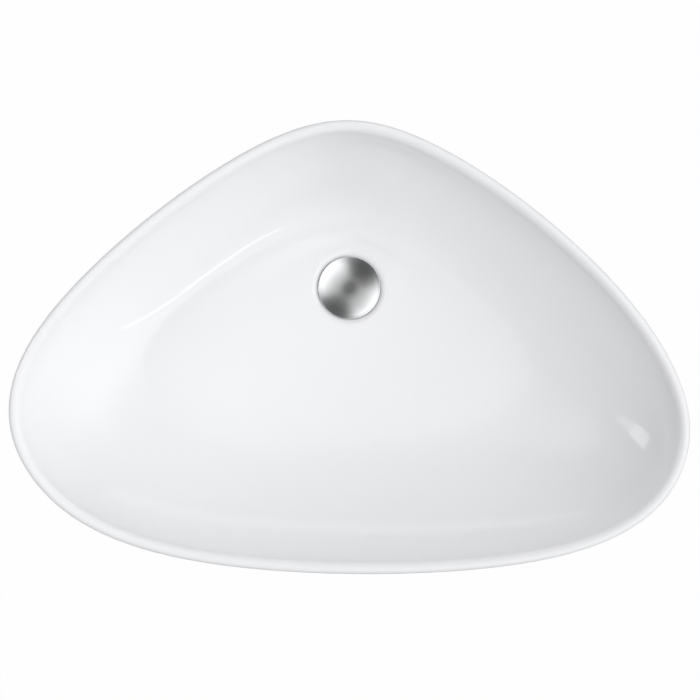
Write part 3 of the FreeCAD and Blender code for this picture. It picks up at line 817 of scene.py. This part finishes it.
def dress_all(bowl_piece, cap_piece, spring_piece):
    """Make every material and give each piece its own."""
    turning = turning_group()
    grain = grain_group()
    bowl_piece.data.materials.append(glaze())
    materials = {}
    for name, values in TURNED_METALS.items():
        materials[name] = turned_metal(name, turning, *values)
    for name, values in MOULDED_PIECES.items():
        materials[name] = moulded(name, grain, *values)
    materials["polished_chrome"] = chrome(grain)
    cap_piece.data.materials.append(materials["turned_cap"])
    spring_piece.data.materials.append(materials["turned_steel"])
    for name, dressed in FINISHES.items():
        for node in dressed:
            dress(node, materials[name])


def ground():
    """A pale ground under the lowest piece: white to the camera, with a painted shadow greying its
    reflections near by.
    """
    deselect_all()
    bpy.ops.mesh.primitive_plane_add(size=GROUND_SIZE, location=(0, 0, cad_box[0].z))
    plane = named_active("floor")
    material, nodes, shader = new_material("pale_floor", GROUND_COLOUR, 0.9)
    path = nodes.add("ShaderNodeLightPath").outputs
    direct = nodes.maths("MULTIPLY", path["Is Camera Ray"], GROUND_WHITE)
    through = nodes.maths("MAXIMUM", path["Is Glossy Ray"], path["Is Transmission Ray"])
    reach = nodes.add("ShaderNodeVectorMath", operation="LENGTH")
    nodes.join(nodes.place(), reach.inputs[0])
    (near, near_level), (far, far_level) = REFLECTION_NEAR_PAINTED_SHADOW, REFLECTION_FAR
    # painted shadow: what the ground shows in reflections dims towards the basin
    pale = nodes.ramp(reach.outputs["Value"], near, far, near_level, far_level)
    seen = nodes.maths("MAXIMUM", direct, nodes.maths("MULTIPLY", through, pale))
    white = nodes.add("ShaderNodeEmission")
    white.inputs["Color"].default_value = (1, 1, 1, 1)
    mixed = nodes.add("ShaderNodeMixShader")
    nodes.join(seen, mixed.inputs[0])
    nodes.join(shader.outputs[0], mixed.inputs[1])
    nodes.join(white.outputs[0], mixed.inputs[2])
    nodes.join(mixed.outputs[0], material.node_tree.nodes["Material Output"].inputs["Surface"])
    plane.data.materials.append(material)


def direction(azimuth, zenith):
    """The direction at this azimuth from +X and this angle from straight up, in degrees."""
    turn, tilt = math.radians(azimuth), math.radians(zenith)
    across = math.sin(tilt)
    return Vector((across * math.cos(turn), across * math.sin(turn), math.cos(tilt)))


def lobe(nodes, azimuth, zenith, spread, strength):
    """A soft patch of the surroundings about one direction, fading out over its spread."""
    along = nodes.add("ShaderNodeVectorMath", operation="DOT_PRODUCT")
    nodes.join(nodes.add("ShaderNodeTexCoord").outputs["Generated"], along.inputs[0])
    along.inputs[1].default_value = direction(azimuth, zenith)
    fade = nodes.add("ShaderNodeMapRange", interpolation_type="SMOOTHSTEP")
    nodes.join(along.outputs["Value"], fade.inputs["Value"])
    fade.inputs["From Min"].default_value = math.cos(math.radians(spread))
    fade.inputs["To Max"].default_value = strength
    return fade.outputs["Result"]


def world():
    """Pale surroundings, bright towards the key side and darker overhead, where the camera is."""
    scene_world = bpy.data.worlds.new("studio")
    scene_world.use_nodes = True
    bpy.context.scene.world = scene_world
    nodes = Nodes(scene_world.node_tree)
    path = nodes.add("ShaderNodeLightPath")
    parts = nodes.add("ShaderNodeSeparateXYZ")
    nodes.join(nodes.add("ShaderNodeTexCoord").outputs["Generated"], parts.inputs[0])
    room = scene_world.node_tree.nodes["Background"]
    room.inputs["Color"].default_value = (*ROOM_TINT, 1)
    pale = nodes.ramp(parts.outputs["Z"], 0.0, HORIZON_TOP, ROOM * HORIZON, ROOM)
    lit = 1.0
    for values in SHADES:
        lit = nodes.maths("MULTIPLY", nodes.maths("SUBTRACT", 1.0, lobe(nodes, *values)), lit)
    nodes.join(nodes.maths("MULTIPLY", pale, lit), room.inputs["Strength"])
    glow = nodes.add("ShaderNodeBackground")
    glow.inputs["Color"].default_value = (1, 1, 1, 1)
    bright = 0.0
    for values in GLOWS:
        bright = nodes.maths("ADD", lobe(nodes, *values), bright)
    nodes.join(nodes.maths("MULTIPLY", bright, lit), glow.inputs["Strength"])
    both = nodes.add("ShaderNodeAddShader")
    nodes.join(room.outputs[0], both.inputs[0])
    nodes.join(glow.outputs[0], both.inputs[1])
    white = nodes.add("ShaderNodeBackground")
    white.inputs["Color"].default_value = (1, 1, 1, 1)
    seen = nodes.add("ShaderNodeMixShader")
    nodes.join(path.outputs["Is Camera Ray"], seen.inputs[0])
    nodes.join(both.outputs[0], seen.inputs[1])
    nodes.join(white.outputs[0], seen.inputs[2])
    nodes.join(seen.outputs[0], scene_world.node_tree.nodes["World Output"].inputs["Surface"])


def softbox(name, azimuth, zenith, size, power, roll):
    """A soft lamp that faces the middle of the basin."""
    deselect_all()
    away = direction(azimuth, zenith)
    middle = Vector((0, CAMERA_Y, 0))
    bpy.ops.object.light_add(type="AREA", location=middle + away * LAMP_DISTANCE)
    lamp = named_active(name)
    lamp.data.shape = "RECTANGLE"
    lamp.data.size, lamp.data.size_y = size
    lamp.data.energy = power
    facing = away.to_track_quat("Z", "Y")
    lamp.rotation_euler = (facing @ Quaternion((0, 0, 1), math.radians(roll))).to_euler()


def camera():
    deselect_all()
    bpy.ops.object.camera_add(location=(CAMERA_X, CAMERA_Y, BASIN_HEIGHT + CAMERA_ABOVE_RIM))
    viewer = bpy.context.object
    viewer.name = "photo_camera"
    viewer.rotation_euler = (0, 0, 0)
    viewer.data.sensor_width = CAMERA_SENSOR
    viewer.data.lens = CAMERA_SENSOR * CAMERA_ABOVE_RIM / PICTURE_WIDTH_AT_RIM
    viewer.data.clip_start = CAMERA_NEAREST
    bpy.context.scene.camera = viewer


camera()
bowl_piece = bowl()
cap_piece = cap()
dress_all(bowl_piece, cap_piece, spring())
ground()
world()
for lamp_name, settings in LAMPS.items():
    softbox(lamp_name, *settings)
bpy.context.scene.view_settings.view_transform = "Standard"
